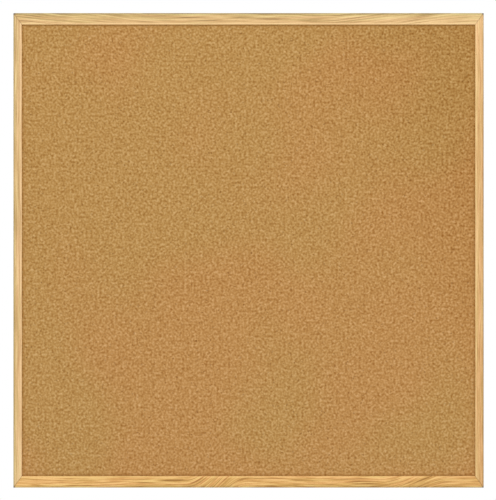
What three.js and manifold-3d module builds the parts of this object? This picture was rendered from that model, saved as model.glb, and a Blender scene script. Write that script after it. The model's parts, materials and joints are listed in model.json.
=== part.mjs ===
// A wood-framed cork bulletin board that hangs on a wall from two ring hangers.
//
// Lengths are millimetres. Seen from the front, +X is to the right and +Z is up, and the cork faces -Y.
// The origin is the middle of the board, in the plane of the wall, so every piece lies at y <= 0.

import * as THREE from "three";
import { mergeVertices } from "three/addons/utils/BufferGeometryUtils.js";
import Module from "manifold-3d";

const wasm = await Module();
wasm.setup();

// ---------------------------------------------------------------- driving dimensions

// The whole board
const BOARD_WIDTH = 1220;
const BOARD_HEIGHT = 1231;
const WALL_GAP = 6; // from the wall to the back of the frame
const CLEARANCE = 0.3; // between pieces that touch

// The frame moulding, whose widths across the face grow with the face
const STILE_FACE = 22;
const RAIL_FACE = 30;
const MOULDING_DEPTH = 19;
const LIP_THICKNESS = 5;
const REBATE_SHARE = 0.36;
const OUTER_ROUND_SHARE = 0.17;
const OUTER_ROUND_DEPTH = 4;
const INNER_ROUND_SHARE = 0.05;
const INNER_ROUND_DEPTH = 1.2;

// The panels in the rebate
const CORK_THICKNESS = 6;
const CORK_PINCH = 0.4; // how far the lip presses the cork's border in
const CORK_FIELD_INSET = 1; // from the lip to the part of the cork that isn't pressed
const BACKER_THICKNESS = 5;
const PANEL_EDGE_GAP = 1; // from a panel's edge to the wall of the rebate

// The V-nails that join the mitres, driven in from the back
const V_NAIL_LEG = 5;
const V_NAIL_SHEET = 0.5;
const V_NAIL_DEPTH = 8;
const V_NAIL_SUNK = 0.2;
const V_NAIL_HALF_ANGLE = Math.PI / 4;
const V_NAIL_DISTANCES = { outer: 11.5, inner: 19.5 }; // of the point of the V from the outer corner

// The retaining points that hold the panels in the rebate
const POINT_WIDTH = 6;
const POINT_SHEET = 0.5;
const POINT_OVERHANG = 9; // over the backer board
const POINT_DRIVEN = 7; // into the wood
const POINT_TIP = 3; // length of the sharpened end
const POINTS_PER_SIDE = 3;
const POINT_PITCH = 400;

// The ring hangers
const HANGER_DROP = 120; // from the top of the board to the axis of the rings
const HANGER_FROM_EDGE = 8;
const STRAP_WIDTH = 8;
const STRAP_SHEET = 1;
const STRAP_REACH = 41; // below the axis of the ring
const KNUCKLE_WRAP = THREE.MathUtils.degToRad(295); // how far the strap is rolled round the bar
const RING_WIRE_RADIUS = 1.2;
const RING_HALF_WIDTH = 6.2; // to the middle of the wire
const RING_DROP = 12; // to the middle of the wire
const RING_CORNER_RADIUS = 1.8;

// The pan-head screws that hold the straps
const SCREW_RADIUS = 1.5;
const SCREW_LENGTH = 14; // below the head
const SCREW_TIP = 4;
const SCREW_HEAD_RADIUS = 3;
const SCREW_HEAD_RIM = 0.7;
const SCREW_HEAD_HEIGHT = 1.9;
const RECESS_WIDTH = 0.8;
const RECESS_LENGTH = 3.2;
const RECESS_DEPTH = 1.1;
const SCREW_DROPS = { upper: 20, lower: 34 }; // below the axis of the ring

// The bumpers behind the bottom corners
const BUMPER_RADIUS = 7;
const BUMPER_WALL_RADIUS = 4.6;
const BUMPER_SIDE = 2.2; // height of its upright side
const BUMPER_FROM_EDGE = 60;

// How finely round shapes are divided
const ROUND_STEPS = 3;
const KNUCKLE_STEPS = 10;
const WIRE_SIDES = 10;
const RING_STEPS = 52;
const SCREW_SIDES = 20;
const BUMPER_SIDES = 32;
const CUT_MARGIN = 1; // how far a cutting solid reaches past what it cuts

// ---------------------------------------------------------------- worked-out dimensions

const KNUCKLE_INNER = RING_WIRE_RADIUS + CLEARANCE;
const KNUCKLE_OUTER = KNUCKLE_INNER + STRAP_SHEET;
const RING_AXIS_Y = CLEARANCE + KNUCKLE_OUTER; // behind the back of the frame
const CORK_BACK_Y = LIP_THICKNESS - MOULDING_DEPTH - (CORK_PINCH - CLEARANCE) + CORK_THICKNESS;
const BACKER_BACK_Y = CORK_BACK_Y + CLEARANCE + BACKER_THICKNESS;
const OPENING_WIDTH = BOARD_WIDTH - 2 * STILE_FACE;
const OPENING_HEIGHT = BOARD_HEIGHT - 2 * RAIL_FACE;
const STILE_REBATE = STILE_FACE * REBATE_SHARE;
const RAIL_REBATE = RAIL_FACE * REBATE_SHARE;
const PANEL_WIDTH = OPENING_WIDTH + 2 * (STILE_REBATE - PANEL_EDGE_GAP);
const PANEL_HEIGHT = OPENING_HEIGHT + 2 * (RAIL_REBATE - PANEL_EDGE_GAP);

// ---------------------------------------------------------------- finishes

const PALE_OAK = { color: 0xd7b681, roughness: 0.5, metalness: 0 };
const WARM_OAK = { color: 0xdaa968, roughness: 0.5, metalness: 0 };
const CORK = { color: 0xbb8c52, roughness: 0.95, metalness: 0 };
const FIBREBOARD = { color: 0x8a6a4a, roughness: 0.9, metalness: 0 };
const ZINCED_STEEL = { color: 0xb9bdc2, roughness: 0.35, metalness: 1 };
const RUBBER = { color: 0x3b3a38, roughness: 0.85, metalness: 0 };

// ---------------------------------------------------------------- solids

// A closed geometry as a solid that can be cut and joined.
function toSolid(geometry) {
  const bare = geometry.clone();
  bare.deleteAttribute("normal");
  bare.deleteAttribute("uv");
  const merged = mergeVertices(bare);
  return new wasm.Manifold(
    new wasm.Mesh({
      numProp: 3,
      vertProperties: Float32Array.from(merged.attributes.position.array),
      triVerts: Uint32Array.from(merged.index.array),
    }),
  );
}

function toGeometry(solid) {
  const { vertProperties, triVerts } = solid.getMesh();
  const geometry = new THREE.BufferGeometry();
  geometry.setAttribute("position", new THREE.BufferAttribute(vertProperties, 3));
  geometry.setIndex(new THREE.BufferAttribute(triVerts, 1));
  geometry.computeVertexNormals();
  return geometry;
}

// An outline of (inward, depth) pairs as a bar of the given length, centred along X.
function extrudeAlongX(outline, length, curveSegments = ROUND_STEPS) {
  const options = { depth: length, bevelEnabled: false, curveSegments };
  const geometry = new THREE.ExtrudeGeometry(outline, options);
  return geometry.translate(0, 0, -length / 2).rotateY(-Math.PI / 2);
}

// An outline of (x, z) pairs as a plate between two depths.
function extrudeAlongY(outline, fromY, toY, curveSegments = ROUND_STEPS) {
  const options = { depth: toY - fromY, bevelEnabled: false, curveSegments };
  const geometry = new THREE.ExtrudeGeometry(outline, options);
  return geometry.rotateX(Math.PI / 2).translate(0, toY, 0);
}

function polygon(corners) {
  return new THREE.Shape(corners.map(([x, y]) => new THREE.Vector2(x, y)));
}

function makePiece(name, geometry, finish) {
  const piece = new THREE.Mesh(geometry, new THREE.MeshStandardMaterial(finish));
  piece.name = name;
  return piece;
}

// The space that each fastener needs in the pieces it goes through, in the fastener's own frame.
const pockets = new Map();

function cutPockets(piece, fasteners) {
  const intoPiece = piece.matrixWorld.clone().invert();
  let solid = toSolid(piece.geometry);
  for (const fastener of fasteners) {
    const pocket = pockets.get(fastener).clone();
    pocket.applyMatrix4(fastener.matrixWorld).applyMatrix4(intoPiece);
    solid = solid.subtract(toSolid(pocket));
  }
  piece.geometry = toGeometry(solid);
}

// ---------------------------------------------------------------- frame members

// The section of a member: x runs inward from the outer edge, and y from the back (0) to the front.
function memberProfile(face) {
  const wall = face - face * REBATE_SHARE;
  const shoulder = LIP_THICKNESS - MOULDING_DEPTH;
  const inner = face * INNER_ROUND_SHARE;
  const outer = face * OUTER_ROUND_SHARE;
  const profile = new THREE.Shape();
  profile.moveTo(0, 0);
  profile.lineTo(wall, 0);
  profile.lineTo(wall, shoulder);
  profile.lineTo(face, shoulder);
  const innerCentreY = INNER_ROUND_DEPTH - MOULDING_DEPTH;
  const outerCentreY = OUTER_ROUND_DEPTH - MOULDING_DEPTH;
  profile.absellipse(face - inner, innerCentreY, inner, INNER_ROUND_DEPTH, 0, -Math.PI / 2, true);
  profile.absellipse(outer, outerCentreY, outer, OUTER_ROUND_DEPTH, -Math.PI / 2, -Math.PI, true);
  profile.closePath();
  return profile;
}

// The mitred front view of a member. Each mitre runs from the frame's outer corner to its inner
// corner, so its slope depends on the face of the member that it meets.
function mitredPlan(length, face, neighbourFace) {
  const slope = neighbourFace / face;
  const gap = (CLEARANCE / 2) * Math.hypot(1, slope);
  const endAt = (inward) => length / 2 - gap - slope * inward;
  const low = -CUT_MARGIN;
  const high = face + CUT_MARGIN;
  return polygon([
    [-endAt(low), low],
    [endAt(low), low],
    [endAt(high), high],
    [-endAt(high), high],
  ]);
}

// A member lies along X, with its outer edge at z = 0 and its inner edge at z = face.
function makeMember(name, length, face, neighbourFace, finish) {
  const bar = toSolid(extrudeAlongX(memberProfile(face), length));
  const plan = mitredPlan(length, face, neighbourFace);
  const ends = toSolid(extrudeAlongY(plan, -MOULDING_DEPTH - CUT_MARGIN, CUT_MARGIN));
  return makePiece(name, toGeometry(bar.intersect(ends)), finish);
}

// ---------------------------------------------------------------- retaining points

// A strip driven flat into the rebate's wall at z = 0, with its sharpened end in the wood at -Z.
function makeRetainingPoint(name) {
  const outline = (grow) => {
    const half = POINT_WIDTH / 2 + grow;
    const tip = -POINT_DRIVEN - grow;
    return polygon([
      [-half, POINT_OVERHANG],
      [-half, tip + POINT_TIP],
      [0, tip],
      [half, tip + POINT_TIP],
      [half, POINT_OVERHANG],
    ]);
  };
  const sheet = extrudeAlongY(outline(0), 0, POINT_SHEET);
  const slot = extrudeAlongY(outline(CLEARANCE), -CLEARANCE, POINT_SHEET + CLEARANCE);
  const point = makePiece(name, sheet, ZINCED_STEEL);
  pockets.set(point, slot);
  return point;
}

// A member and the retaining points driven into it, as one side of the frame.
function makeSide(name, length, face, neighbourFace, finish) {
  const side = new THREE.Group();
  const member = makeMember(name, length, face, neighbourFace, finish);
  side.add(member);
  const points = [];
  for (let i = 0; i < POINTS_PER_SIDE; i += 1) {
    const point = makeRetainingPoint(`${name}_point_${i + 1}`);
    const along = (i - (POINTS_PER_SIDE - 1) / 2) * POINT_PITCH;
    point.position.set(along, BACKER_BACK_Y + CLEARANCE, face - face * REBATE_SHARE);
    points.push(point);
    side.add(point);
  }
  return { side, member, points };
}

// ---------------------------------------------------------------- V-nails

// A sheet bent to a V whose point is at the origin and whose legs open towards +X.
function vOutline(leg, sheet) {
  const cos = Math.cos(V_NAIL_HALF_ANGLE);
  const sin = Math.sin(V_NAIL_HALF_ANGLE);
  const point = sheet / 2 / sin;
  const outside = [leg * cos - (sheet / 2) * sin, leg * sin + (sheet / 2) * cos];
  const inside = [leg * cos + (sheet / 2) * sin, leg * sin - (sheet / 2) * cos];
  return polygon([
    [-point, 0],
    [outside[0], -outside[1]],
    [inside[0], -inside[1]],
    [point, 0],
    inside,
    outside,
  ]);
}

function makeVNail(name) {
  const sheet = extrudeAlongY(vOutline(V_NAIL_LEG, V_NAIL_SHEET), -V_NAIL_DEPTH, 0);
  const slotOutline = vOutline(V_NAIL_LEG + CLEARANCE, V_NAIL_SHEET + 2 * CLEARANCE);
  const slot = extrudeAlongY(slotOutline, -V_NAIL_DEPTH - CLEARANCE, V_NAIL_SUNK + CUT_MARGIN);
  const nail = makePiece(name, sheet, ZINCED_STEEL);
  pockets.set(nail, slot);
  return nail;
}

// The V-nails of one corner, with their points on the line of the mitre.
function makeCornerNails(vertical, across, signX, signZ) {
  const mitre = Math.hypot(STILE_FACE, RAIL_FACE);
  return Object.entries(V_NAIL_DISTANCES).map(([place, distance]) => {
    const nail = makeVNail(`v_nail_${vertical}_${across}_${place}`);
    nail.position.set(
      signX * (BOARD_WIDTH / 2 - (distance * STILE_FACE) / mitre),
      -V_NAIL_SUNK,
      signZ * (BOARD_HEIGHT / 2 - (distance * RAIL_FACE) / mitre),
    );
    nail.rotation.y = Math.atan2(-signZ * RAIL_FACE, signX * STILE_FACE);
    return nail;
  });
}

// ---------------------------------------------------------------- panels

// The cork sheet: a border pressed in under the lips, and a field that stands free of them.
function makeCorkSheet() {
  const sheet = new THREE.BoxGeometry(PANEL_WIDTH, CORK_THICKNESS - CORK_PINCH, PANEL_HEIGHT);
  sheet.translate(0, CORK_BACK_Y - (CORK_THICKNESS - CORK_PINCH) / 2, 0);
  const field = new THREE.BoxGeometry(
    OPENING_WIDTH - 2 * CORK_FIELD_INSET,
    CORK_THICKNESS,
    OPENING_HEIGHT - 2 * CORK_FIELD_INSET,
  );
  field.translate(0, CORK_BACK_Y - CORK_THICKNESS / 2, 0);
  return makePiece("cork_sheet", toGeometry(toSolid(sheet).add(toSolid(field))), CORK);
}

function makeBackerBoard() {
  const board = new THREE.BoxGeometry(PANEL_WIDTH, BACKER_THICKNESS, PANEL_HEIGHT);
  board.translate(0, BACKER_BACK_Y - BACKER_THICKNESS / 2, 0);
  return makePiece("backer_board", board, FIBREBOARD);
}

// ---------------------------------------------------------------- ring hangers

// The strap: a strip flat on the frame whose top end is rolled round the ring's bar, at the origin.
function makeStrap(name) {
  const section = new THREE.Shape();
  const rollStart = -Math.PI / 2;
  section.moveTo(-STRAP_REACH, -KNUCKLE_OUTER);
  section.absarc(0, 0, KNUCKLE_OUTER, rollStart, rollStart + KNUCKLE_WRAP, false);
  section.absarc(0, 0, KNUCKLE_INNER, rollStart + KNUCKLE_WRAP, rollStart, true);
  section.lineTo(-STRAP_REACH, -KNUCKLE_INNER);
  section.closePath();
  const strip = toSolid(extrudeAlongX(section, STRAP_WIDTH, KNUCKLE_STEPS));
  const half = STRAP_WIDTH / 2;
  const reach = KNUCKLE_OUTER + CUT_MARGIN;
  const plan = new THREE.Shape();
  plan.moveTo(-half, reach);
  plan.absarc(0, half - STRAP_REACH, half, Math.PI, 2 * Math.PI, false);
  plan.lineTo(half, reach);
  plan.closePath();
  const rounded = toSolid(extrudeAlongY(plan, -reach, reach, KNUCKLE_STEPS));
  return makePiece(name, toGeometry(strip.intersect(rounded)), ZINCED_STEEL);
}

// The middle line of the ring's wire: a straight bar on the axis, two legs and a half circle below.
class RingLoop extends THREE.Curve {
  constructor() {
    super();
    const barEnd = RING_HALF_WIDTH - RING_CORNER_RADIUS;
    const legEnd = RING_HALF_WIDTH - RING_DROP;
    this.outline = new THREE.Path();
    this.outline.moveTo(-barEnd, 0);
    this.outline.absarc(barEnd, -RING_CORNER_RADIUS, RING_CORNER_RADIUS, Math.PI / 2, 0, true);
    this.outline.absarc(0, legEnd, RING_HALF_WIDTH, 0, -Math.PI, true);
    this.outline.absarc(-barEnd, -RING_CORNER_RADIUS, RING_CORNER_RADIUS, Math.PI, Math.PI / 2, true);
  }

  getPoint(t, target = new THREE.Vector3()) {
    const point = this.outline.getPointAt(t % 1);
    return target.set(point.x, 0, point.y);
  }
}

function makeRing(name) {
  const wire = new THREE.TubeGeometry(new RingLoop(), RING_STEPS, RING_WIRE_RADIUS, WIRE_SIDES, true);
  return makePiece(name, wire, ZINCED_STEEL);
}

// A pan-head screw along Y, with its point at -Y and the underside of its head at the origin.
function makeScrew(name) {
  const domeHeight = SCREW_HEAD_HEIGHT - SCREW_HEAD_RIM;
  const profile = new THREE.Path();
  profile.moveTo(0, -SCREW_LENGTH);
  profile.lineTo(SCREW_RADIUS, SCREW_TIP - SCREW_LENGTH);
  profile.lineTo(SCREW_RADIUS, 0);
  profile.lineTo(SCREW_HEAD_RADIUS, 0);
  profile.absellipse(0, SCREW_HEAD_RIM, SCREW_HEAD_RADIUS, domeHeight, 0, Math.PI / 2, false);
  let screw = toSolid(new THREE.LatheGeometry(profile.getPoints(ROUND_STEPS), SCREW_SIDES));
  const arms = [
    new THREE.BoxGeometry(RECESS_LENGTH, 2 * RECESS_DEPTH, RECESS_WIDTH),
    new THREE.BoxGeometry(RECESS_WIDTH, 2 * RECESS_DEPTH, RECESS_LENGTH),
  ];
  for (const arm of arms) {
    screw = screw.subtract(toSolid(arm.translate(0, SCREW_HEAD_HEIGHT, 0)));
  }
  const piece = makePiece(name, toGeometry(screw), ZINCED_STEEL);
  const holeRadius = SCREW_RADIUS + CLEARANCE;
  const holeLength = SCREW_LENGTH + CLEARANCE + CUT_MARGIN;
  const hole = new THREE.CylinderGeometry(holeRadius, holeRadius, holeLength, SCREW_SIDES);
  pockets.set(piece, hole.translate(0, CUT_MARGIN - holeLength / 2, 0));
  return piece;
}

// A hanger's strap, ring and screws, round the axis of its ring.
function makeHanger(across) {
  const hanger = new THREE.Group();
  const strap = makeStrap(`${across}_hanger_strap`);
  const ring = makeRing(`${across}_hanger_ring`);
  hanger.add(strap, ring);
  const screws = Object.entries(SCREW_DROPS).map(([place, drop]) => {
    const screw = makeScrew(`${across}_hanger_screw_${place}`);
    screw.position.set(0, CLEARANCE - KNUCKLE_INNER, -drop);
    hanger.add(screw);
    return screw;
  });
  return { hanger, strap, screws };
}

// ---------------------------------------------------------------- bumpers

// A round foot whose flat face rests on the wall at y = 0.
function makeBumper(name) {
  const height = WALL_GAP - CLEARANCE;
  const profile = new THREE.Path();
  profile.moveTo(0, -height);
  profile.lineTo(BUMPER_RADIUS, -height);
  profile.absellipse(
    BUMPER_WALL_RADIUS,
    BUMPER_SIDE - height,
    BUMPER_RADIUS - BUMPER_WALL_RADIUS,
    height - BUMPER_SIDE,
    0,
    Math.PI / 2,
    false,
  );
  profile.lineTo(0, 0);
  const foot = new THREE.LatheGeometry(profile.getPoints(ROUND_STEPS), BUMPER_SIDES);
  return makePiece(name, foot, RUBBER);
}

// ---------------------------------------------------------------- the board

const board = new THREE.Group();

// The frame and what it holds, with the back of the frame at the group's y = 0.
const frame = new THREE.Group();
frame.position.y = -WALL_GAP;
board.add(frame);

const top = makeSide("top_rail", BOARD_WIDTH, RAIL_FACE, STILE_FACE, PALE_OAK);
top.side.position.z = BOARD_HEIGHT / 2;
top.side.rotation.y = Math.PI;

const bottom = makeSide("bottom_rail", BOARD_WIDTH, RAIL_FACE, STILE_FACE, WARM_OAK);
bottom.side.position.z = -BOARD_HEIGHT / 2;

const left = makeSide("left_stile", BOARD_HEIGHT, STILE_FACE, RAIL_FACE, PALE_OAK);
left.side.position.x = -BOARD_WIDTH / 2;
left.side.rotation.y = Math.PI / 2;

const right = makeSide("right_stile", BOARD_HEIGHT, STILE_FACE, RAIL_FACE, WARM_OAK);
right.side.position.x = BOARD_WIDTH / 2;
right.side.rotation.y = -Math.PI / 2;

frame.add(top.side, bottom.side, left.side, right.side);
frame.add(makeCorkSheet(), makeBackerBoard());

const nails = [];
for (const [vertical, signZ] of [["top", 1], ["bottom", -1]]) {
  for (const [across, signX] of [["left", -1], ["right", 1]]) {
    nails.push(...makeCornerNails(vertical, across, signX, signZ));
  }
}
frame.add(...nails);

const hangerX = BOARD_WIDTH / 2 - HANGER_FROM_EDGE;
const hangers = {};
for (const [across, signX] of [["left", -1], ["right", 1]]) {
  const made = makeHanger(across);
  made.hanger.position.set(signX * hangerX, RING_AXIS_Y, BOARD_HEIGHT / 2 - HANGER_DROP);
  frame.add(made.hanger);
  hangers[across] = made;

  const bumper = makeBumper(`${across}_bumper`);
  const bumperX = signX * (BOARD_WIDTH / 2 - BUMPER_FROM_EDGE);
  bumper.position.set(bumperX, 0, (RAIL_FACE - RAIL_REBATE) / 2 - BOARD_HEIGHT / 2);
  board.add(bumper);
}

board.updateMatrixWorld(true);
cutPockets(top.member, [...top.points, ...nails]);
cutPockets(bottom.member, [...bottom.points, ...nails]);
cutPockets(left.member, [...left.points, ...nails, ...hangers.left.screws]);
cutPockets(right.member, [...right.points, ...nails, ...hangers.right.screws]);
for (const { strap, screws } of Object.values(hangers)) {
  cutPockets(strap, screws);
}

export default board;
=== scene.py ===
"""A wood-framed cork bulletin board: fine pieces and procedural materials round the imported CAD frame.

Lengths are metres. Seen from the front, +X is to the right and +Z is up, and the cork faces -Y. The board
hangs on the wall plane y = 0.
"""

import json
import math

import bmesh
import bpy
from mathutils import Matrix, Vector, noise

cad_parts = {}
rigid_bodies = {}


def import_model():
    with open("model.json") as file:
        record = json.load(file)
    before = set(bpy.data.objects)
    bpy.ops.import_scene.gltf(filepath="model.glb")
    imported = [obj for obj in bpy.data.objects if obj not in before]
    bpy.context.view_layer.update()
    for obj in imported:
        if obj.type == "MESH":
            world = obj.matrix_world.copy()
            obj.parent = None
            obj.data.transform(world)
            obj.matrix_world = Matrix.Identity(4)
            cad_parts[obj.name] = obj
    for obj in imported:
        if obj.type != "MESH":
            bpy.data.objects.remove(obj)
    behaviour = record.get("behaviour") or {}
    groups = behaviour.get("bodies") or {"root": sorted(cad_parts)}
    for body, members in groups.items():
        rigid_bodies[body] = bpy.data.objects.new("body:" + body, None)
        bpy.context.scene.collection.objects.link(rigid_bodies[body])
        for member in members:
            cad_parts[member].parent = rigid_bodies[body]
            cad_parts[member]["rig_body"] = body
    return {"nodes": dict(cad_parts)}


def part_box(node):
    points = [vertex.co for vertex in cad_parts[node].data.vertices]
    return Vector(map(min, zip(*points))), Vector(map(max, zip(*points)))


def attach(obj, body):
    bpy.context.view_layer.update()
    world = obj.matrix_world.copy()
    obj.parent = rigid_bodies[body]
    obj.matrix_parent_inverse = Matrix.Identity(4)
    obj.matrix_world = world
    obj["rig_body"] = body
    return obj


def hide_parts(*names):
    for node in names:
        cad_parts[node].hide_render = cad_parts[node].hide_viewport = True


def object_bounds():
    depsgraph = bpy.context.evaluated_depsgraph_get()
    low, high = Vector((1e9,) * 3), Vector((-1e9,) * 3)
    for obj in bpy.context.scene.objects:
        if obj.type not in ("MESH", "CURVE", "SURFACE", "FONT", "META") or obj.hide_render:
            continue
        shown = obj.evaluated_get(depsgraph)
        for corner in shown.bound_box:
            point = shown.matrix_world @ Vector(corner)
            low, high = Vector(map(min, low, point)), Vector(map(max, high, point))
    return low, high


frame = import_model()
cad_low, cad_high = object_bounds()

MM = 0.001
UP = Vector((0, 0, 1))
RIGHT = Vector((1, 0, 0))

# ---------------------------------------------------------------- places that the CAD gives

CORNER = cad_high.copy()  # the frame's upper right outer corner
FRAME_FRONT, FRAME_BACK = (corner.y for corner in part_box("top_rail"))
RAIL_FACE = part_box("top_rail")[1].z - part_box("top_rail")[0].z
STILE_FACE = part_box("left_stile")[1].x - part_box("left_stile")[0].x
OPENING = Vector((CORNER.x - STILE_FACE, 0, CORNER.z - RAIL_FACE))  # its upper right corner
CORK_FIELD, CORK_BACK = (corner.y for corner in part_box("cork_sheet"))
BACKER_FRONT, BACKER_BACK = (corner.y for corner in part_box("backer_board"))
BACKER_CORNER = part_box("backer_board")[1]

# ---------------------------------------------------------------- sizes of the details

SHARP_ANGLE = math.radians(30)  # faces that meet at more than this have a sharp edge between them
SLIVER = 0.001 * MM  # edges shorter than this are merged away
FASTENER_SPACE = 0.25 * MM  # all round a fastener, in the wood and in a strap

# the frame's moulding; the shares are of a member's face
LIP_THICKNESS = 5 * MM
REBATE_SHARE = 0.36
OUTER_ROUND_SHARE = 0.17
OUTER_ROUND_DEPTH = 4 * MM
INNER_ROUND_SHARE = 0.05
INNER_ROUND_DEPTH = 1.2 * MM
ARRIS = 0.3 * MM  # width of the bevel along a member's sharp edges
MITRE_GAP = 0.05 * MM
GRAIN_WANDER = 22 * MM  # how far the grain strays across a face
RING_PITCH = 4.6 * MM  # of the wood's growth rings

# the panels; a pitch is of the mesh that carries the relief
CORK_PITCH = 5 * MM
CORK_RELIEF = 0.22 * MM
CORK_PINCH = 0.4 * MM  # how far the lips press the cork's border in
CORK_BORDER_INSET = 1 * MM
CORK_RISE = 4 * MM  # from the pressed border to the field
GRANULE = 4 * MM
CRUMB = 1.9 * MM
BACKER_PITCH = 16 * MM
BACKER_RELIEF = 0.25 * MM
BACKER_EDGE = 0.7 * MM  # how far its rubbed edges stand back
BACKER_EDGE_INSET = 1.2 * MM

# the ring hangers
STRAP_WIDTH = 8 * MM
STRAP_SHEET = 1 * MM
STRAP_CHAMFER = 0.15 * MM
STRAP_REACH = 41 * MM  # below the axis of the ring
STRAP_FOOT_STEPS = 10
KNUCKLE_RADIUS = 2 * MM  # to the middle of the sheet
KNUCKLE_WRAP = 295  # degrees
KNUCKLE_STEPS = 36
WIRE_RADIUS = 1.2 * MM
WIRE_SIDES = 20
RING_CORNER_RADIUS = 1.8 * MM
WELD_SWELL = 0.07 * MM
WELD_WIDTH = 0.8 * MM

# the screws; heights are over the underside of the head
SCREW_SIDES = 28
SCREW_CORE = 1.15 * MM
SCREW_CREST = 1.5 * MM
SCREW_PITCH = 1.3 * MM
SCREW_TIP = 4 * MM
SCREW_FLANK = 3.2  # how steeply the thread rises
SCREW_THREAD_TOP = -1.6 * MM
SCREW_THREAD_STEPS = 96
SCREW_SHANK = (  # (radius, height), down to the underside of the head
    (SCREW_CORE, -1.4 * MM),
    (SCREW_CORE, -0.2 * MM),
    (SCREW_CORE + 0.2 * MM, 0),
)
SCREW_HEAD_HEIGHT = 1.9 * MM
SCREW_HEAD_RADIUS = 3 * MM
SCREW_RIM_HEIGHT = 0.7 * MM
SCREW_RIM_ROUND = 0.12 * MM
SCREW_DOME_ANGLE = 84  # degrees of a quarter circle, so that the dome ends in a small flat
SCREW_DOME_STEPS = 8
RECESS_REACH = 1.6 * MM
RECESS_HALF_WIDTH = 0.4 * MM
RECESS_ENDS = ((1.08, 0.5 * MM), (0.6, -1.1 * MM))  # (share of the reach, height over the head's top)

# the wall bumpers
BUMPER_SIDES = 56
BUMPER_FOOT = ((-0.9 * MM, 0), (-0.25 * MM, 0), (0, 0.3 * MM))  # (past the radius, over the foot)
BUMPER_SHOULDER_STEPS = 12
BUMPER_SHOULDER_WIDTH = 2.4 * MM
BUMPER_SHOULDER_HEIGHT = 3.5 * MM
BUMPER_DISH = (  # (radius, y) from the rim to the middle
    (4.1 * MM, 0),
    (3.7 * MM, -0.08 * MM),
    (3.3 * MM, -0.3 * MM),
    (1.4 * MM, -0.35 * MM),
    (1.1 * MM, -0.28 * MM),
    (0.4 * MM, -0.25 * MM),
)

SHEET_METAL_BEVEL = 0.08 * MM  # of the retaining points and the V-nails


# ---------------------------------------------------------------- node graphs


def shade(red, green, blue):
    """A display colour, from 0 to 255, as the linear colour that a shader takes."""
    return tuple(((c / 255 + 0.055) / 1.055) ** 2.4 for c in (red, green, blue))


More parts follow.
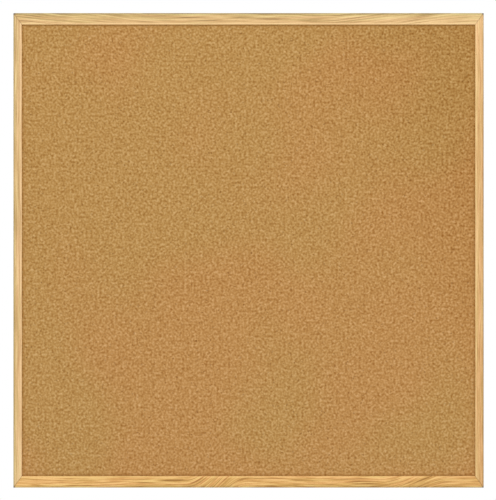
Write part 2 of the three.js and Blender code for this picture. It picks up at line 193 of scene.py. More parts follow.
class Graph:
    """One material's nodes. Each method adds nodes and returns the output that is used."""

    def __init__(self, name):
        self.material = bpy.data.materials.new(name)
        self.material.use_nodes = True
        self.tree = self.material.node_tree
        self.shader = self.tree.nodes["Principled BSDF"]

    def put(self, socket, value):
        """Feeds a socket from another node's output, or sets its value."""
        if isinstance(value, bpy.types.NodeSocket):
            self.tree.links.new(value, socket)
        elif value is not None:
            socket.default_value = (*value, 1) if socket.type == "RGBA" else value

    def node(self, kind, *values, **settings):
        """A node whose first inputs are values."""
        made = self.tree.nodes.new(kind)
        for key, value in settings.items():
            setattr(made, key, value)
        for socket, value in zip(made.inputs, values):
            self.put(socket, value)
        return made

    def named(self, kind, output, settings, **values):
        """The output of a node whose inputs are given by name."""
        made = self.node(kind, **settings)
        for name, value in values.items():
            self.put(made.inputs[name], value)
        return made.outputs[output]

    def done(self, **values):
        """Sets the shader's inputs and returns the material."""
        for name, value in values.items():
            self.put(self.shader.inputs[name.replace("_", " ")], value)
        return self.material

    def place(self):
        return self.node("ShaderNodeTexCoord").outputs["Object"]

    def facing(self):
        return self.node("ShaderNodeTexCoord").outputs["Normal"]

    def math(self, operation, *values):
        return self.node("ShaderNodeMath", *values, operation=operation).outputs[0]

    def times(self, first, second):
        return self.math("MULTIPLY", first, second)

    def plus(self, start, *terms):
        """start plus each (value, weight)."""
        for value, weight in terms:
            start = self.math("MULTIPLY_ADD", value, weight, start)
        return start

    def total(self, start, *terms):
        """start plus each (value, weight), where a value of one half adds nothing."""
        for value, weight in terms:
            start = self.plus(start, (self.math("SUBTRACT", value, 0.5), weight))
        return start

    def vector(self, operation, *values):
        made = self.node("ShaderNodeVectorMath", *values, operation=operation)
        return made.outputs["Value" if operation in ("LENGTH", "DOT_PRODUCT") else "Vector"]

    def split(self, vector):
        return self.node("ShaderNodeSeparateXYZ", vector).outputs

    def join(self, x, y, z):
        return self.node("ShaderNodeCombineXYZ", x, y, z).outputs[0]

    def warped(self, place, scale, reach):
        """place, shifted by up to reach, differently from spot to spot."""
        shift = self.noise(place, scale, 2, output="Color")
        return self.vector("MULTIPLY_ADD", shift, (reach,) * 3, place)

    def noise(self, vector, scale=1.0, detail=1.0, roughness=0.5, output="Fac"):
        """Soft noise. A scale of three numbers stretches it."""
        if isinstance(scale, tuple):
            vector, scale = self.vector("MULTIPLY", vector, scale), 1.0
        values = {"Vector": vector, "Scale": scale, "Detail": detail, "Roughness": roughness}
        return self.named("ShaderNodeTexNoise", output, {}, **values)

    def cells(self, vector, scale, output="Color", feature="F1"):
        return self.named("ShaderNodeTexVoronoi", output, {"feature": feature}, Vector=vector, Scale=scale)

    def range(self, value, low, high, to_low=0.0, to_high=1.0):
        """Carries low..high smoothly to to_low..to_high, and holds it there outside."""
        settings = {"interpolation_type": "SMOOTHSTEP"}
        return self.node("ShaderNodeMapRange", value, low, high, to_low, to_high, **settings).outputs[0]

    def ramp(self, value, *stops):
        """A colour that changes with value. stops are (value, display colour)."""
        made = self.node("ShaderNodeValToRGB", value)
        elements = made.color_ramp.elements
        elements.remove(elements[1])
        elements[0].position, elements[0].color = stops[0][0], (*shade(*stops[0][1]), 1)
        for position, colour in stops[1:]:
            elements.new(position).color = (*shade(*colour), 1)
        return made.outputs[0]

    def mix(self, factor, first, second, blend="MIX"):
        made = self.node("ShaderNodeMix", factor, data_type="RGBA", blend_type=blend)
        colours = [socket for socket in made.inputs if socket.type == "RGBA"]
        self.put(colours[0], first)
        self.put(colours[1], second)
        return next(socket for socket in made.outputs if socket.type == "RGBA")

    def tint(self, colour, by):
        return self.mix(1.0, colour, by, "MULTIPLY")

    def stain(self, colour, where, strength, over):
        """colour with a display colour laid over it, as strongly as where times strength."""
        return self.mix(self.times(where, strength), colour, shade(*over))

    def edges(self, width):
        """1 along sharp edges and 0 on flat ground."""
        rounded = self.named("ShaderNodeBevel", "Normal", {"samples": 6}, Radius=width)
        flat = self.node("ShaderNodeNewGeometry").outputs["Normal"]
        return self.range(self.vector("DOT_PRODUCT", rounded, flat), 0.995, 0.9)

    def bump(self, height, distance, under=None):
        values = {"Height": height, "Distance": distance, "Normal": under}
        return self.named("ShaderNodeBump", "Normal", {}, **values)


# ---------------------------------------------------------------- the four sides of the frame


class Side:
    """Where a member lies: the direction it runs in, and the direction out of the board across its face."""

    def __init__(self, node, along, outward, half_length, reach, face, neighbour_face):
        self.node, self.along, self.outward = node, along, outward
        self.half_length, self.reach = half_length, reach
        self.face, self.neighbour_face = face, neighbour_face

    def point(self, run, inward, y):
        """The point that is run along the member, inward from its outer edge, at that y."""
        return self.along * run + self.outward * (self.reach - inward) + Vector((0, y, 0))


RAIL = (CORNER.x, CORNER.z, RAIL_FACE, STILE_FACE)
STILE = (CORNER.z, CORNER.x, STILE_FACE, RAIL_FACE)
TOP = Side("top_rail", RIGHT, UP, *RAIL)
BOTTOM = Side("bottom_rail", RIGHT, -UP, *RAIL)
LEFT = Side("left_stile", UP, -RIGHT, *STILE)
RIGHT_SIDE = Side("right_stile", UP, RIGHT, *STILE)


# ---------------------------------------------------------------- materials


class OakGraph(Graph):
    """The nodes of clear-lacquered oak whose grain runs along a side of the frame."""

    def __init__(self, side, streaks, slants, seed):
        super().__init__(f"{side.node} oak")
        self.side = side
        self.at = self.place()
        self.run = self.vector("DOT_PRODUCT", self.at, side.along)
        self.inward = self.math("SUBTRACT", side.reach, self.vector("DOT_PRODUCT", self.at, side.outward))
        self.depth = self.math("SUBTRACT", self.split(self.at)[1], FRAME_FRONT)
        self.shifted = self.math("ADD", self.run, seed)
        self.lay_grain(slants, seed)
        self.grow(streaks)

    def lay_grain(self, slants, seed):
        """The grain lines wander slowly across the face, and climb between the ends of each slant."""
        wander = self.noise(self.join(self.shifted, seed, 0), (3.5, 1, 1))
        self.across = self.total(self.inward, (wander, -GRAIN_WANDER))
        for start, end, rise in slants:
            self.across = self.math("SUBTRACT", self.across, self.range(self.run, start, end, 0, rise))
        self.grain = self.join(self.shifted, self.across, self.depth)

    def grow(self, streaks):
        """What the grain is made of, each from 0 to 1."""
        self.broad = self.noise(self.grain, (9, 130, 70), 1)
        self.streak = self.noise(self.grain, (streaks, 300, 160), 1)
        self.vein = self.range(self.noise(self.grain, (streaks, 430, 220), 0), 0.56, 0.7)
        self.fibre = self.noise(self.grain, (70, 1500, 900), 2)
        self.flecks = self.range(self.noise(self.grain, (120, 420, 160), 0), 0.66, 0.78)

        # the growth rings slant through the member, and the pores lie in the early wood of each
        growth = self.math("DIVIDE", self.plus(self.across, (self.depth, 0.6)), RING_PITCH)
        growth = self.total(growth, (self.noise(self.grain, (5, 60, 40), 1), 3.4))
        self.early = self.range(self.math("FRACT", growth), 0.32, 0.02)
        pores = self.range(self.noise(self.grain, (190, 3200, 2600), 1), 0.56, 0.68)
        self.pores = self.times(pores, self.plus(0.3, (self.early, 0.7)))

    def tone(self, figure, arris, pale_end):
        """How light the wood is, where one half is its middle colour."""
        drift = self.noise(self.join(self.shifted, 3.0, 0), (2.2, 1, 1))
        late = self.math("SUBTRACT", 1.0, self.early)
        tone = self.total(0.54, (self.broad, figure), (self.streak, 2.0 * figure), (self.fibre, 0.5))
        tone = self.plus(self.total(tone, (drift, 0.3)), (self.vein, -0.26 * figure))
        tone = self.total(tone, (late, 0.22 * figure))
        # painted highlight along the inner edge, where its arris would catch the light
        inner_edge_highlight = self.range(self.inward, self.side.face - 7 * MM, self.side.face - MM)
        half_length = self.side.half_length
        near_end = self.range(self.times(self.run, pale_end), 0.3 * half_length, half_length)
        return self.plus(tone, (self.flecks, 0.08), (inner_edge_highlight, arris), (near_end, 0.16))

    def blushed(self, colour, blush):
        """The wood is greener here and pinker there."""
        patches = self.noise(self.grain, (6, 150, 70), 1)
        warmth = self.total(patches, (self.math("DIVIDE", self.inward, self.side.face), blush))
        warmth = self.range(warmth, 0.32, 0.68)
        return self.tint(colour, self.mix(warmth, shade(250, 254, 244), shade(255, 247, 245)))

    def rim_shade_and_dark_tips(self, colour, unevenness):
        """Painted shade darkens the outer round-over, and the corners' outer tips are darker."""
        # painted shade on the outer round-over, added to the shade that its curve gets from the lamps
        rounded = OUTER_ROUND_SHARE * self.side.face
        outer = self.range(self.inward, 1.45 * rounded, 0.7 * rounded)
        outer = self.times(outer, self.total(1.0, (unevenness, 1.6)))
        outer = self.times(outer, self.range(self.depth, 3 * OUTER_ROUND_DEPTH, OUTER_ROUND_DEPTH, 0.3, 1.0))
        colour = self.mix(outer, colour, self.tint(colour, (0.81, 0.86, 0.80)))
        to_tip = self.vector("SUBTRACT", self.vector("ABSOLUTE", self.at), CORNER)
        from_tip = self.vector("LENGTH", self.vector("MULTIPLY", to_tip, (1, 0, 1)))
        from_tip = self.total(from_tip, (self.noise(self.at, 420, 2), 7 * MM))
        return self.stain(colour, self.range(from_tip, 6.6 * MM, 3.4 * MM), 0.9, (96, 80, 74))

    def joined(self, colour, unevenness):
        """Glue has darkened the wood along the mitres, and their faces show end grain."""
        side = self.side
        end = self.plus(side.half_length, (self.inward, -side.neighbour_face / side.face))
        from_mitre = self.math("SUBTRACT", end, self.math("ABSOLUTE", self.run))
        glue = self.range(from_mitre, 2.6 * MM, 0.4 * MM)
        colour = self.stain(colour, glue, self.total(0.34, (unevenness, 0.9)), (140, 98, 56))
        facing_along = self.math("ABSOLUTE", self.vector("DOT_PRODUCT", self.facing(), side.along))
        return self.stain(colour, self.range(facing_along, 0.4, 0.6), 0.75, (124, 86, 46))


def oak(side, tones, figure, streaks, blush, pale_end, arris=0.34, slants=(), seed=0.0):
    """Clear-lacquered oak for a side of the frame, sawn and bare on its back.

    tones are the display colours of its dark, middle and light wood. figure is how strongly the grain shows,
    and streaks is how many of its streaks follow one another along a metre. blush is how much pinker the wood
    is towards the inner edge, and pale_end is +1 or -1 for the end towards which the member pales. arris is
    how strongly a painted highlight lightens the inner edge. slants are (start, end, rise): between two
    places along the member, its grain climbs by that much across the face. seed picks the stretch of wood.
    """
    g = OakGraph(side, streaks, slants, seed)
    colour = g.ramp(g.tone(figure, arris, pale_end), *zip((0.05, 0.5, 0.95), tones))
    colour = g.blushed(colour, blush)
    colour = g.stain(colour, g.pores, 0.5, (118, 78, 36))
    unevenness = g.noise(g.grain, (30, 200, 200), 2)
    colour = g.joined(g.rim_shade_and_dark_tips(colour, unevenness), unevenness)

    back = g.range(g.split(g.facing())[1], 0.7, 0.9)
    saw = g.noise(g.join(g.run, g.across, 0), (900, 12, 1), 2)
    bare = g.ramp(g.total(0.5, (saw, 0.5), (g.streak, 0.9)), (0.2, (170, 132, 86)), (0.8, (208, 172, 122)))
    colour = g.mix(g.times(back, 0.8), colour, bare)

    rough = g.total(0.44, (g.streak, 0.16), (g.noise(g.at, 60, 2), 0.12))
    rough = g.plus(rough, (back, 0.3), (g.pores, 0.25))
    relief = g.bump(g.total(0.5, (g.fibre, 0.7), (g.streak, 0.4)), 0.12 * MM)
    relief = g.bump(g.plus(g.times(back, saw), (g.pores, -1.0)), 0.15 * MM, relief)
    return g.done(Base_Color=colour, Roughness=rough, Normal=relief)


def distance_to_edge(g, x, z, corner):
    """How far inside a rectangle a place lies, which has its middle at 0, 0 and this upper right corner."""
    from_side = g.math("SUBTRACT", corner.x, g.math("ABSOLUTE", x))
    from_end = g.math("SUBTRACT", corner.z, g.math("ABSOLUTE", z))
    return g.math("MINIMUM", from_side, from_end)


def cork():
    """Pressed cork granules, each of its own tone, with dark specks of bark and painted shade along the
    frame.
    """
    g = Graph("cork")
    place = g.place()
    x, _, z = g.split(place)
    warped = g.warped(place, 330, 2 * MM)
    granule = g.split(g.cells(warped, 1 / GRANULE))
    seam = g.cells(warped, 1 / GRANULE, "Distance", "DISTANCE_TO_EDGE")
    crumb = g.split(g.cells(warped, 1 / CRUMB))
    clump = g.noise(g.vector("MULTIPLY", place, (1, 0, 1)), 168, 0)  # noise is most even where y = 0
    cloud = g.noise(place, 22, 2)

    # painted shade darkens it towards the upper right corner, and painted light makes it a little lighter at
    # the bottom
    tone = g.total(0.5, (clump, 0.95), (granule[0], 0.3), (crumb[0], 0.08), (cloud, 0.04))
    tone = g.math("SUBTRACT", tone, g.range(g.plus(x, (z, 0.45)), 0.3, 0.9, 0, 0.13))
    tone = g.math("ADD", tone, g.range(z, 0.2, -0.6, 0, 0.03))
    colour = g.ramp(tone, (0.0, (149, 95, 27)), (0.5, (191, 144, 83)), (1.0, (222, 180, 125)))

    # dark seams in places, bark, cell walls and specks
    seams = g.times(g.range(seam, 0.06, 0.0), g.range(g.noise(place, 300, 1), 0.35, 0.7))
    colour = g.stain(colour, seams, 0.45, (128, 84, 40))
    bark = g.times(g.range(granule[1], 0.965, 0.975), g.range(seam, 0.05, 0.14))
    colour = g.stain(colour, bark, 0.4, (96, 58, 28))
    cell_walls = g.noise(warped, (1700, 1700, 1700), 1)
    colour = g.mix(g.range(cell_walls, 0.62, 0.4, 0, 0.16), colour, shade(150, 104, 54))
    colour = g.stain(colour, g.range(g.noise(place, 640, 1), 0.70, 0.76), 0.5, (108, 68, 32))

    # greener to the upper left and rosier to the lower right, and painted shade along the frame's lips
    drift = g.plus(g.noise(place, 2.6, 1), (g.math("SUBTRACT", x, z), 0.11))
    colour = g.tint(colour, g.mix(g.range(drift, 0.40, 0.64), shade(251, 255, 248), shade(255, 250, 246)))
    # painted shade along the frame, where its lips shade the cork
    lip_shade = g.range(distance_to_edge(g, x, z, OPENING), 8 * MM, 3.6 * MM)
    colour = g.stain(colour, lip_shade, g.total(0.33, (cloud, 0.4)), (148, 104, 48))

    rough = g.total(0.88, (granule[1], 0.12), (crumb[1], 0.08))
    pits = g.total(0.5, (clump, 0.5), (granule[2], 0.35), (crumb[2], 0.2))
    relief = g.bump(g.range(seam, 0.0, 0.1), 0.12 * MM, g.bump(pits, 0.35 * MM))
    return g.done(Base_Color=colour, Roughness=rough, Normal=relief, Specular_IOR_Level=0.25)


def fibreboard():
    """Pressed brown fibreboard: felted fibres, pale chips and rubbed, paler edges."""
    g = Graph("fibreboard")
    place = g.place()
    x, _, z = g.split(place)
    bent = g.warped(place, 45, 16 * MM)
    felt = [g.noise(bent, scale, 3, 0.6) for scale in ((900, 500, 260), (280, 500, 860))]
    blotch = g.noise(place, 9, 3)
    chips = g.range(g.noise(bent, (520, 400, 170), 1), 0.64, 0.74)
    tone = g.total(0.5, (felt[0], 0.8), (felt[1], 0.8), (blotch, 0.22))
    colour = g.ramp(tone, (0.1, (112, 80, 50)), (0.5, (142, 106, 70)), (0.9, (170, 132, 92)))
    colour = g.stain(colour, chips, 0.35, (186, 152, 112))
    rubbed = g.range(distance_to_edge(g, x, z, BACKER_CORNER), 3 * MM, 0.6 * MM)
    rubbed = g.times(rubbed, g.range(felt[0], 0.35, 0.6))
    colour = g.stain(colour, rubbed, 0.6, (190, 158, 118))
    rough = g.total(0.82, (felt[0], 0.2), (blotch, 0.1))
    relief = g.bump(g.total(0.5, (felt[0], 0.6), (felt[1], 0.6)), 0.2 * MM)
    return g.done(Base_Color=colour, Roughness=rough, Normal=relief, Specular_IOR_Level=0.3)


def zinced_steel():
    """Bright zinc plate: faint crystals, fine scratches, a yellowish film in patches, edges rubbed bright."""
    g = Graph("zinced steel")
    place = g.place()
    crystal = g.split(g.cells(g.warped(place, 900, MM), 900))
    film = g.noise(place, 260, 2)
    scratch = g.range(g.noise(place, (500, 4000, 6500), 1), 0.6, 0.72)
    dull = g.noise(place, 700, 3)
    tone = g.total(0.5, (crystal[0], 0.3), (film, 1.2))
    colour = g.ramp(tone, (0.2, (186, 184, 172)), (0.5, (200, 202, 204)), (0.8, (190, 198, 210)))
    colour = g.stain(colour, scratch, 0.5, (226, 228, 230))
    rubbed = g.times(g.edges(0.3 * MM), g.range(dull, 0.35, 0.55))
    colour = g.stain(colour, rubbed, 0.8, (234, 235, 236))
    rough = g.plus(g.total(0.36, (crystal[1], 0.1), (dull, 0.35)), (rubbed, -0.14))
    relief = g.bump(g.total(0.5, (dull, 0.5), (scratch, -0.6)), 0.03 * MM)
    return g.done(Base_Color=colour, Metallic=1.0, Roughness=rough, Normal=relief)


def rubber():
    """Soft dark rubber with a moulded orange-peel skin, scuffed where it meets the wall."""
    g = Graph("rubber")
    place = g.place()
    peel = g.noise(place, 1500, 2)
    dust = g.noise(place, 420, 3)
    grit = g.noise(place, 2600, 2)
    tone = g.total(0.5, (peel, 0.4), (grit, 0.5), (dust, 0.5))
    colour = g.ramp(tone, (0.2, (40, 39, 38)), (0.8, (70, 68, 65)))
    scuff = g.times(g.range(g.split(place)[1], -0.6 * MM, -0.1 * MM), g.range(grit, 0.42, 0.6))
    colour = g.stain(colour, scuff, 0.45, (112, 108, 103))
    rough = g.total(0.7, (dust, 0.3))
    relief = g.bump(peel, 0.05 * MM)
    return g.done(Base_Color=colour, Roughness=rough, Normal=relief, Specular_IOR_Level=0.4)


# ---------------------------------------------------------------- meshes


def loft(loops, closed=False):
    """A mesh through loops of equally many points, capped at both ends or joined end to end."""
    made = bmesh.new()
    rows = [[made.verts.new(p) for p in loop] for loop in loops]
    if closed:
        rows.append(rows[0])
    for first, second in zip(rows, rows[1:]):
        for i in range(len(first)):
            made.faces.new((first[i - 1], first[i], second[i], second[i - 1]))
    if not closed:
        made.faces.new(rows[0])
        made.faces.new(rows[-1])
    bmesh.ops.recalc_face_normals(made, faces=made.faces)
    return made


def make_object(name, made):
    """An object from a bmesh, smooth except at its sharp edges."""
    mesh = bpy.data.meshes.new(name)
    made.to_mesh(mesh)
    made.free()
    mesh.shade_smooth()
    mesh.set_sharp_from_angle(angle=SHARP_ANGLE)
    made_object = bpy.data.objects.new(name, mesh)
    bpy.context.scene.collection.objects.link(made_object)
    return made_object


def add_bevel(target, name, width):
    modifier = target.modifiers.new(name, "BEVEL")
    modifier.width, modifier.segments = width, 2
    modifier.limit_method, modifier.angle_limit = "ANGLE", SHARP_ANGLE


def apply_modifiers(target):
    bpy.context.view_layer.update()
    evaluated = target.evaluated_get(bpy.context.evaluated_depsgraph_get())
    mesh = bpy.data.meshes.new_from_object(evaluated)
    target.modifiers.clear()
    target.data = mesh
    mesh.set_sharp_from_angle(angle=SHARP_ANGLE)


def cut(target, cutter):
    """Takes a solid, given as a bmesh, out of an object, and cleans away the slivers."""
    tool = make_object(f"{target.name}_tool", cutter)
    modifier = target.modifiers.new("cut", "BOOLEAN")
    modifier.operation, modifier.solver, modifier.object = "DIFFERENCE", "EXACT", tool
    apply_modifiers(target)
    bpy.data.objects.remove(tool)
    made = bmesh.new()
    made.from_mesh(target.data)
    bmesh.ops.remove_doubles(made, verts=made.verts, dist=SLIVER)
    bmesh.ops.dissolve_degenerate(made, edges=made.edges, dist=SLIVER)
    made.to_mesh(target.data)
    made.free()


def shade_evenly(target):
    """Keeps large flat faces flat beside their narrow bevels."""
    modifier = target.modifiers.new("even shading", "WEIGHTED_NORMAL")
    modifier.mode, modifier.weight, modifier.keep_sharp = "FACE_AREA", 100, True


def finish_piece(target, node, material):
    """Gives a piece its material, and puts it in the place of its CAD node."""
    target.data.materials.clear()
    target.data.materials.append(material)
    body = frame["nodes"][node]["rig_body"]
    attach(target, body)
    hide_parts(node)


def grown(nodes, by):
    """The solids of some CAD nodes in one bmesh, with every face moved out by a distance."""
    made = bmesh.new()
    for node in nodes:
        made.from_mesh(frame["nodes"][node].data)
    bmesh.ops.remove_doubles(made, verts=made.verts, dist=SLIVER)
    bmesh.ops.recalc_face_normals(made, faces=made.faces)
    made.normal_update()
    moves = [vertex.normal * vertex.calc_shell_factor() * by for vertex in made.verts]
    for vertex, move in zip(made.verts, moves):
        vertex.co += move
    return made


# ---------------------------------------------------------------- frame members


def member_section(face):
    """The moulding's outline as (inward, y) pairs, from the outer edge at the back, round to the front."""
    wall = face * (1 - REBATE_SHARE)
    shoulder = FRAME_FRONT + LIP_THICKNESS
    outline = [(0, FRAME_BACK), (wall, FRAME_BACK), (wall, shoulder), (face, shoulder)]
    rounds = [  # (middle, half width, depth, first angle, steps)
        (face - face * INNER_ROUND_SHARE, face * INNER_ROUND_SHARE, INNER_ROUND_DEPTH, 0, 6),
        (face * OUTER_ROUND_SHARE, face * OUTER_ROUND_SHARE, OUTER_ROUND_DEPTH, 90, 12),
    ]
    for centre, across, deep, start, steps in rounds:
        for i in range(steps + 1):
            angle = math.radians(start + 90 * i / steps)
            y = FRAME_FRONT + deep - deep * math.sin(angle)
            outline.append((centre + across * math.cos(angle), y))
    return outline


def make_member(side, fasteners, material):
    """A mitred member with bevelled arrises and the slots and holes of its fasteners."""
    slope = side.neighbour_face / side.face
    gap = MITRE_GAP / 2 * math.hypot(1, slope)
    section = member_section(side.face)
    loops = []
    for end in (-1, 1):
        loops.append([side.point(end * (side.half_length - gap - slope * u), u, y) for u, y in section])
    member = make_object(f"{side.node}_moulding", loft(loops))
    add_bevel(member, "arrises", ARRIS)
    apply_modifiers(member)
    cut(member, grown(fasteners, FASTENER_SPACE))
    shade_evenly(member)
    finish_piece(member, side.node, material)


# ---------------------------------------------------------------- panels


def stations(low, high, pitch, inset):
    """Places from low to high, about pitch apart between the two that lie inset from the ends."""
    first, last = low + inset, high - inset
    count = max(2, round((last - first) / pitch))
    return [low, *(first + (last - first) * i / count for i in range(count + 1)), high]


def rim_of(sheet):
    """The vertices round the edge of a sheet, which is a list of rows of vertices."""
    right = [row[-1] for row in sheet[1:]]
    left = [row[0] for row in sheet[-2:0:-1]]
    return [*sheet[0], *right, *sheet[-1][-2::-1], *left]


def make_panel(name, node, pitch, inset, front, back):
    """A panel that fills a node's box in X and Z. front(x, z) and back(x, z) give its two faces' depths."""
    low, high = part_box(node)
    xs, zs = stations(low.x, high.x, pitch, inset), stations(low.z, high.z, pitch, inset)
    made = bmesh.new()
    sheets = [[[made.verts.new((x, face(x, z), z)) for x in xs] for z in zs] for face in (front, back)]
    for sheet, flip in zip(sheets, (False, True)):
        for lower, upper in zip(sheet, sheet[1:]):
            for i in range(len(xs) - 1):
                corners = (lower[i], lower[i + 1], upper[i + 1], upper[i])
                made.faces.new(reversed(corners) if flip else corners)
    front_rim, back_rim = (rim_of(sheet) for sheet in sheets)
    for i in range(len(front_rim)):
        made.faces.new((front_rim[i], front_rim[i - 1], back_rim[i - 1], back_rim[i]))
    return make_object(name, made)


def cork_front(x, z):
    """The pressed border under the lips, a soft rise to the field, and the field's granular relief."""
    from_lip = min(OPENING.x - abs(x), OPENING.z - abs(z))
    if from_lip < CORK_BORDER_INSET:
        return CORK_FIELD + CORK_PINCH
    rise = min(1.0, (from_lip - CORK_BORDER_INSET) / CORK_RISE)
    smooth_rise = rise * rise * (3 - 2 * rise)
    place = Vector((x, 0, z))
    lumps = 0.6 * noise.noise(place / (9 * MM)) + 0.4 * noise.noise(place / (23 * MM))
    sunk = CORK_RELIEF * min(1.0, max(0.0, 0.5 + lumps))
    return CORK_FIELD + (1 - smooth_rise) * CORK_PINCH / 2 + sunk * rise


def cork_back(x, z):
    """Flat, where it is glued to the backer."""
    return CORK_BACK


def backer_front(x, z):
    """Flat, behind the cork."""
    return BACKER_FRONT


def backer_back(x, z):
    """A slightly uneven face whose edges are rubbed down."""
    at_edge = 0.1 * MM
    if BACKER_CORNER.x - abs(x) < at_edge or BACKER_CORNER.z - abs(z) < at_edge:
        return BACKER_BACK - BACKER_EDGE
    waves = noise.noise(Vector((x, 0, z)) / (170 * MM))
    return BACKER_BACK - BACKER_RELIEF * min(1.0, max(0.0, 0.5 + waves))


def lay_out_bake(target, low, high):
    """Gives a panel's front nearly all of its baked texture, and the back and the rims strips beside it."""
    layer = target.data.uv_layers.new(name="OFBake")
    size = high - low
    for polygon in target.data.polygons:
        for loop in polygon.loop_indices:
            at = target.data.vertices[target.data.loops[loop].vertex_index].co - low
            u, v, w = at.x / size.x, at.z / size.z, at.y / size.y
            if polygon.normal.y < -0.5:
                place = (0.003 + 0.994 * u, 0.063 + 0.934 * v)
            elif polygon.normal.y > 0.5:
                place = (0.003 + 0.05 * u, 0.003 + 0.05 * v)
            elif abs(polygon.normal.x) > 0.5:
                place = (0.07 + 0.92 * v, 0.006 + 0.015 * w)
            else:
                place = (0.07 + 0.92 * u, 0.03 + 0.015 * w)
            layer.data[loop].uv = place


# ---------------------------------------------------------------- ring hangers


def ring_axis(across):
    """The middle of the bar that a hanger's ring turns on."""
    low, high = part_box(f"{across}_hanger_ring")
    middle = (low + high) / 2
    return Vector((middle.x, middle.y, high.z - WIRE_RADIUS))


def strap_stops():
    """Places along a strap, from the tip of its round foot up to the end of its rolled knuckle.

    Each is (width, middle of the sheet, direction out through the sheet), from the ring's axis.
    """
    stops = []
    half = STRAP_WIDTH / 2
    for i in range(1, STRAP_FOOT_STEPS + 1):
        angle = math.radians(90 / STRAP_FOOT_STEPS * i)
        z = half * (1 - math.cos(angle)) - STRAP_REACH
        stops.append((STRAP_WIDTH * math.sin(angle), Vector((0, -KNUCKLE_RADIUS, z)), Vector((0, -1, 0))))
    for i in range(KNUCKLE_STEPS + 1):
        angle = math.radians(KNUCKLE_WRAP * i / KNUCKLE_STEPS - 90)
        outward = Vector((0, math.sin(angle), math.cos(angle)))
        stops.append((STRAP_WIDTH, outward * KNUCKLE_RADIUS, outward))
    return stops


def make_strap(across):
    """A strip with a round end, rolled at its top round the ring's bar and drilled for its screws."""
    axis = ring_axis(across)
    loops = []
    for width, middle, outward in strap_stops():
        w, t = width / 2, STRAP_SHEET / 2
        quarter = [(w, t - STRAP_CHAMFER), (w - STRAP_CHAMFER, t)]
        outline = [*quarter, *((-x, n) for x, n in quarter[::-1])]
        outline += [(-x, -n) for x, n in quarter] + [(x, -n) for x, n in quarter[::-1]]
        loops.append([axis + middle + RIGHT * x + outward * n for x, n in outline])
    strap = make_object(f"{across}_hanger_rolled_strap", loft(loops))
    cut(strap, grown([node for node in SCREWS if node.startswith(across)], FASTENER_SPACE))
    shade_evenly(strap)
    finish_piece(strap, f"{across}_hanger_strap", ZINC)


def make_ring(across):
    """A wire bent to a D, with a faint swelling where its ends are butt-welded at the foot."""
    low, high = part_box(f"{across}_hanger_ring")
    axis = ring_axis(across)
    half_width = (high.x - low.x) / 2 - WIRE_RADIUS
    leg_end = half_width + WIRE_RADIUS - (axis.z - low.z)
    bar_end = half_width - RING_CORNER_RADIUS
    bends = [  # (x, z, radius, first angle, last angle, steps)
        (bar_end, -RING_CORNER_RADIUS, RING_CORNER_RADIUS, 90, 0, 10),
        (0, leg_end, half_width, 0, -180, 44),
        (-bar_end, -RING_CORNER_RADIUS, RING_CORNER_RADIUS, 180, 90, 10),
    ]
    loops = []
    for x, z, radius, start, end, steps in bends:
        for i in range(steps + 1):
            angle = math.radians(start + (end - start) * i / steps)
            outward = Vector((math.cos(angle), 0, math.sin(angle)))
            middle = axis + Vector((x, 0, z)) + outward * radius
            from_weld = (middle.x - axis.x) / WELD_WIDTH
            swell = WELD_SWELL * math.exp(-(from_weld**2)) if z == leg_end else 0
            wire = WIRE_RADIUS + swell
            loop = []
            for k in range(WIRE_SIDES):
                turn = math.tau * k / WIRE_SIDES
                sideways = Vector((0, wire * math.sin(turn), 0))
                loop.append(middle + outward * (wire * math.cos(turn)) + sideways)
            loops.append(loop)
    ring = make_object(f"{across}_hanger_wire_ring", loft(loops, closed=True))
    finish_piece(ring, f"{across}_hanger_ring", ZINC)


# ---------------------------------------------------------------- turned pieces


def turned(rows, centre, sides):
    """A solid turned round the Y axis through centre. rows are (radius, y), and a radius may be a function
    of the angle."""
    loops = []
    for radius, y in rows:
        loop = []
        for k in range(sides):
            turn = math.tau * k / sides
            r = radius(turn) if callable(radius) else radius
            loop.append(centre + Vector((r * math.cos(turn), y, r * math.sin(turn))))
        loops.append(loop)
    return loft(loops)


def cross(centre, turn):
    """The tapered cross of a screwdriver's tip, from a little above centre down into the head."""
    loops = []
    for share, y in RECESS_ENDS:
        reach, half = RECESS_REACH * share, RECESS_HALF_WIDTH
        loop = []
        for quarter in range(4):
            angle = turn + quarter * math.pi / 2
            cos, sin = math.cos(angle), math.sin(angle)
            for a, b in ((reach, -half), (reach, half), (half, half)):
                loop.append(centre + Vector((a * cos - b * sin, y, a * sin + b * cos)))
        loops.append(loop)
    return loft(loops)


def thread(y, taper):
    """The thread's radius at a height, by the angle round the screw."""
    crest, core = SCREW_CREST * taper, SCREW_CORE * taper

    def radius(angle):
        phase = (y / SCREW_PITCH - angle / math.tau) % 1
        return core + (crest - core) * max(0.0, 1 - abs(phase - 0.5) * SCREW_FLANK)

    return radius


def screw_rows(length):
    """The screw's outline from its tip to the top of its domed head."""
    rows = []
    for i in range(SCREW_THREAD_STEPS + 1):
        y = -length + (length + SCREW_THREAD_TOP) * i / SCREW_THREAD_STEPS
        taper = min(1.0, (y + length) / SCREW_TIP * 0.94 + 0.06)
        rows.append((thread(y, taper), y))
    rows += SCREW_SHANK
    rows += [(SCREW_HEAD_RADIUS - SCREW_RIM_ROUND, 0), (SCREW_HEAD_RADIUS, SCREW_RIM_ROUND)]
    rows.append((SCREW_HEAD_RADIUS, SCREW_RIM_HEIGHT))
    dome = (SCREW_HEAD_HEIGHT - SCREW_RIM_HEIGHT) / math.sin(math.radians(SCREW_DOME_ANGLE))
    for i in range(1, SCREW_DOME_STEPS + 1):
        angle = math.radians(SCREW_DOME_ANGLE / SCREW_DOME_STEPS * i)
        rows.append((SCREW_HEAD_RADIUS * math.cos(angle), SCREW_RIM_HEIGHT + dome * math.sin(angle)))
    return rows


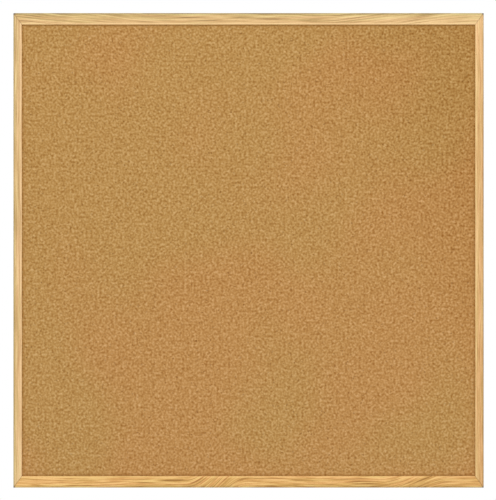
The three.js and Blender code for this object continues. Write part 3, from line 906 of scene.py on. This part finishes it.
def make_screw(node, turn):
    """A pan-head screw with a rolled thread and a cross recess. turn is how far it was driven round."""
    low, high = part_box(node)
    seat = high.y - SCREW_HEAD_HEIGHT
    centre = (low + high) / 2
    centre.y = seat
    screw = make_object(f"{node}_threaded", turned(screw_rows(seat - low.y), centre, SCREW_SIDES))
    cut(screw, cross(centre + Vector((0, SCREW_HEAD_HEIGHT, 0)), turn))
    finish_piece(screw, node, ZINC)


def make_bumper(node):
    """A soft button with a rounded shoulder and a shallow dish in the face that meets the wall."""
    low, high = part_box(node)
    centre = Vector(((low.x + high.x) / 2, high.y, (low.z + high.z) / 2))
    radius, height = (high.x - low.x) / 2, high.y - low.y
    rows = [(radius + past, over - height) for past, over in BUMPER_FOOT]
    for i in range(BUMPER_SHOULDER_STEPS + 1):
        angle = math.radians(90 / BUMPER_SHOULDER_STEPS * i)
        r = radius - BUMPER_SHOULDER_WIDTH + BUMPER_SHOULDER_WIDTH * math.cos(angle)
        rows.append((r, -BUMPER_SHOULDER_HEIGHT + BUMPER_SHOULDER_HEIGHT * math.sin(angle)))
    bumper = make_object(f"{node}_moulded", turned([*rows, *BUMPER_DISH], centre, BUMPER_SIDES))
    finish_piece(bumper, node, RUBBER)


# ---------------------------------------------------------------- build

TOP_OAK = ((162, 126, 69), (208, 169, 107), (241, 208, 147))
LEFT_OAK = ((170, 132, 80), (216, 176, 118), (244, 210, 154))
BOTTOM_OAK = ((168, 114, 46), (220, 166, 91), (248, 203, 130))
RIGHT_OAK = ((172, 124, 68), (216, 167, 104), (244, 202, 142))
TOP_SLANTS = ((-0.62, -0.25, 0.03), (0.22, 0.62, -0.045))
BOTTOM_SLANTS = ((-0.16, 0.0, 0.10), (0.34, 0.52, 0.05))
WOODS = {
    TOP: oak(TOP, TOP_OAK, 0.85, 10, blush=0.45, pale_end=1, arris=0.54, slants=TOP_SLANTS, seed=1.7),
    LEFT: oak(LEFT, LEFT_OAK, 0.78, 7, blush=0.45, pale_end=-1, seed=5.1),
    BOTTOM: oak(BOTTOM, BOTTOM_OAK, 1.0, 15, blush=0.1, pale_end=-1, slants=BOTTOM_SLANTS, seed=9.3),
    RIGHT_SIDE: oak(RIGHT_SIDE, RIGHT_OAK, 0.55, 12, blush=-0.3, pale_end=1, seed=13.9),
}
CORK, FIBREBOARD, ZINC, RUBBER = cork(), fibreboard(), zinced_steel(), rubber()

POINTS = [node for node in frame["nodes"] if "_point_" in node]
V_NAILS = [node for node in frame["nodes"] if node.startswith("v_nail_")]
SCREWS = [node for node in frame["nodes"] if "_screw_" in node]


def fasteners_of(side):
    """The nodes of the points, V-nails and screws that sit in a member."""
    word = side.node.split("_")[0]
    points = [node for node in POINTS if node.startswith(side.node)]
    nails = [node for node in V_NAILS if f"_{word}_" in node]
    screws = [node for node in SCREWS if node.startswith(f"{word}_")]
    return points + nails + screws


def make_panels():
    sheet = make_panel("cork_sheet_granular", "cork_sheet", CORK_PITCH, CORK_PITCH, cork_front, cork_back)
    lay_out_bake(sheet, *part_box("cork_sheet"))
    finish_piece(sheet, "cork_sheet", CORK)

    board = make_panel(
        "backer_board_felted", "backer_board", BACKER_PITCH, BACKER_EDGE_INSET, backer_front, backer_back
    )
    finish_piece(board, "backer_board", FIBREBOARD)


def dress_sheet_metal(node):
    """Gives a CAD node its metal, and bevels its edges."""
    sheet = frame["nodes"][node]
    sheet.data.materials.clear()
    sheet.data.materials.append(ZINC)
    sheet.modifiers.new("weld", "WELD").merge_threshold = SLIVER
    add_bevel(sheet, "edges", SHEET_METAL_BEVEL)


for side, wood in WOODS.items():
    make_member(side, fasteners_of(side), wood)
make_panels()
for across in ("left", "right"):
    make_strap(across)
    make_ring(across)
    make_bumper(f"{across}_bumper")
for i, node in enumerate(SCREWS):
    make_screw(node, 0.5 + 0.9 * i)
for node in POINTS + V_NAILS:
    dress_sheet_metal(node)

# ---------------------------------------------------------------- studio

FLOOR_DROP = 0.9
FLOOR_CLEAR_FROM = 2.0  # the floor fades out from this radius on, and is gone at the next
FLOOR_CLEAR_AT = 6.596
FLOOR_RADIUS = 6.8

CAMERA_LENS = 150.0
SENSOR = 36.0
VIEW_HEIGHT = 1.2963  # of what the camera sees, in the plane of the frame's front
CAMERA_SHIFT = Vector((-0.0014, 0, 0.0010))

LIGHTS = (  # (name, location, size, watts), each aimed at the middle of the board
    ("key", (-1.7, -4.5, 2.7), 2.4, 97),
    ("fill", (2.0, -4.7, 1.7), 2.4, 68),
    ("back_left", (2.4, 4.2, 2.4), 2.6, 70),
    ("back_right", (-2.4, 4.2, 1.2), 2.6, 50),
)
WHITE = (1, 1, 1, 1)


def make_floor():
    """A pale disc that fades out towards its rim."""
    made = bmesh.new()
    bmesh.ops.create_circle(made, cap_ends=True, radius=FLOOR_RADIUS, segments=96)
    floor = make_object("floor", made)
    floor.location = (0, 0, cad_low.z - FLOOR_DROP)
    g = Graph("pale floor")
    clear = g.range(g.vector("LENGTH", g.place()), FLOOR_CLEAR_FROM, FLOOR_CLEAR_AT)
    g.done(Base_Color=(0.88, 0.88, 0.87), Roughness=0.8)
    glass = g.node("ShaderNodeBsdfTransparent").outputs[0]
    mixed = g.node("ShaderNodeMixShader", clear, g.shader.outputs[0], glass).outputs[0]
    g.tree.links.new(mixed, g.tree.nodes["Material Output"].inputs["Surface"])
    floor.data.materials.append(g.material)


def make_light(name, location, size, watts):
    data = bpy.data.lights.new(name, "AREA")
    data.shape, data.size, data.energy = "SQUARE", size, watts
    light = bpy.data.objects.new(name, data)
    light.location = location
    light.rotation_euler = (-Vector(location)).to_track_quat("-Z", "Y").to_euler()
    bpy.context.scene.collection.objects.link(light)


def make_world():
    """Even light from everywhere, in front of a white backdrop."""
    world = bpy.data.worlds.new("studio")
    world.use_nodes = True
    nodes, links = world.node_tree.nodes, world.node_tree.links
    lit, seen = nodes["Background"], nodes.new("ShaderNodeBackground")
    lit.inputs["Color"].default_value = WHITE
    lit.inputs["Strength"].default_value = 0.5
    seen.inputs["Color"].default_value = WHITE
    mixed = nodes.new("ShaderNodeMixShader")
    links.new(nodes.new("ShaderNodeLightPath").outputs["Is Camera Ray"], mixed.inputs[0])
    links.new(lit.outputs[0], mixed.inputs[1])
    links.new(seen.outputs[0], mixed.inputs[2])
    links.new(mixed.outputs[0], nodes["World Output"].inputs["Surface"])
    bpy.context.scene.world = world


def make_camera():
    """A long lens, straight in front of the board."""
    data = bpy.data.cameras.new("camera")
    data.lens, data.sensor_width = CAMERA_LENS, SENSOR
    data.clip_end = 100
    camera = bpy.data.objects.new("camera", data)
    distance = VIEW_HEIGHT / 2 / (SENSOR / 2 / CAMERA_LENS)
    camera.location = CAMERA_SHIFT + Vector((0, FRAME_FRONT - distance, 0))
    camera.rotation_euler = (math.radians(90), 0, 0)
    bpy.context.scene.collection.objects.link(camera)
    bpy.context.scene.camera = camera


make_floor()
make_world()
make_camera()
for light in LIGHTS:
    make_light(*light)
bpy.context.scene.view_settings.view_transform = "Standard"
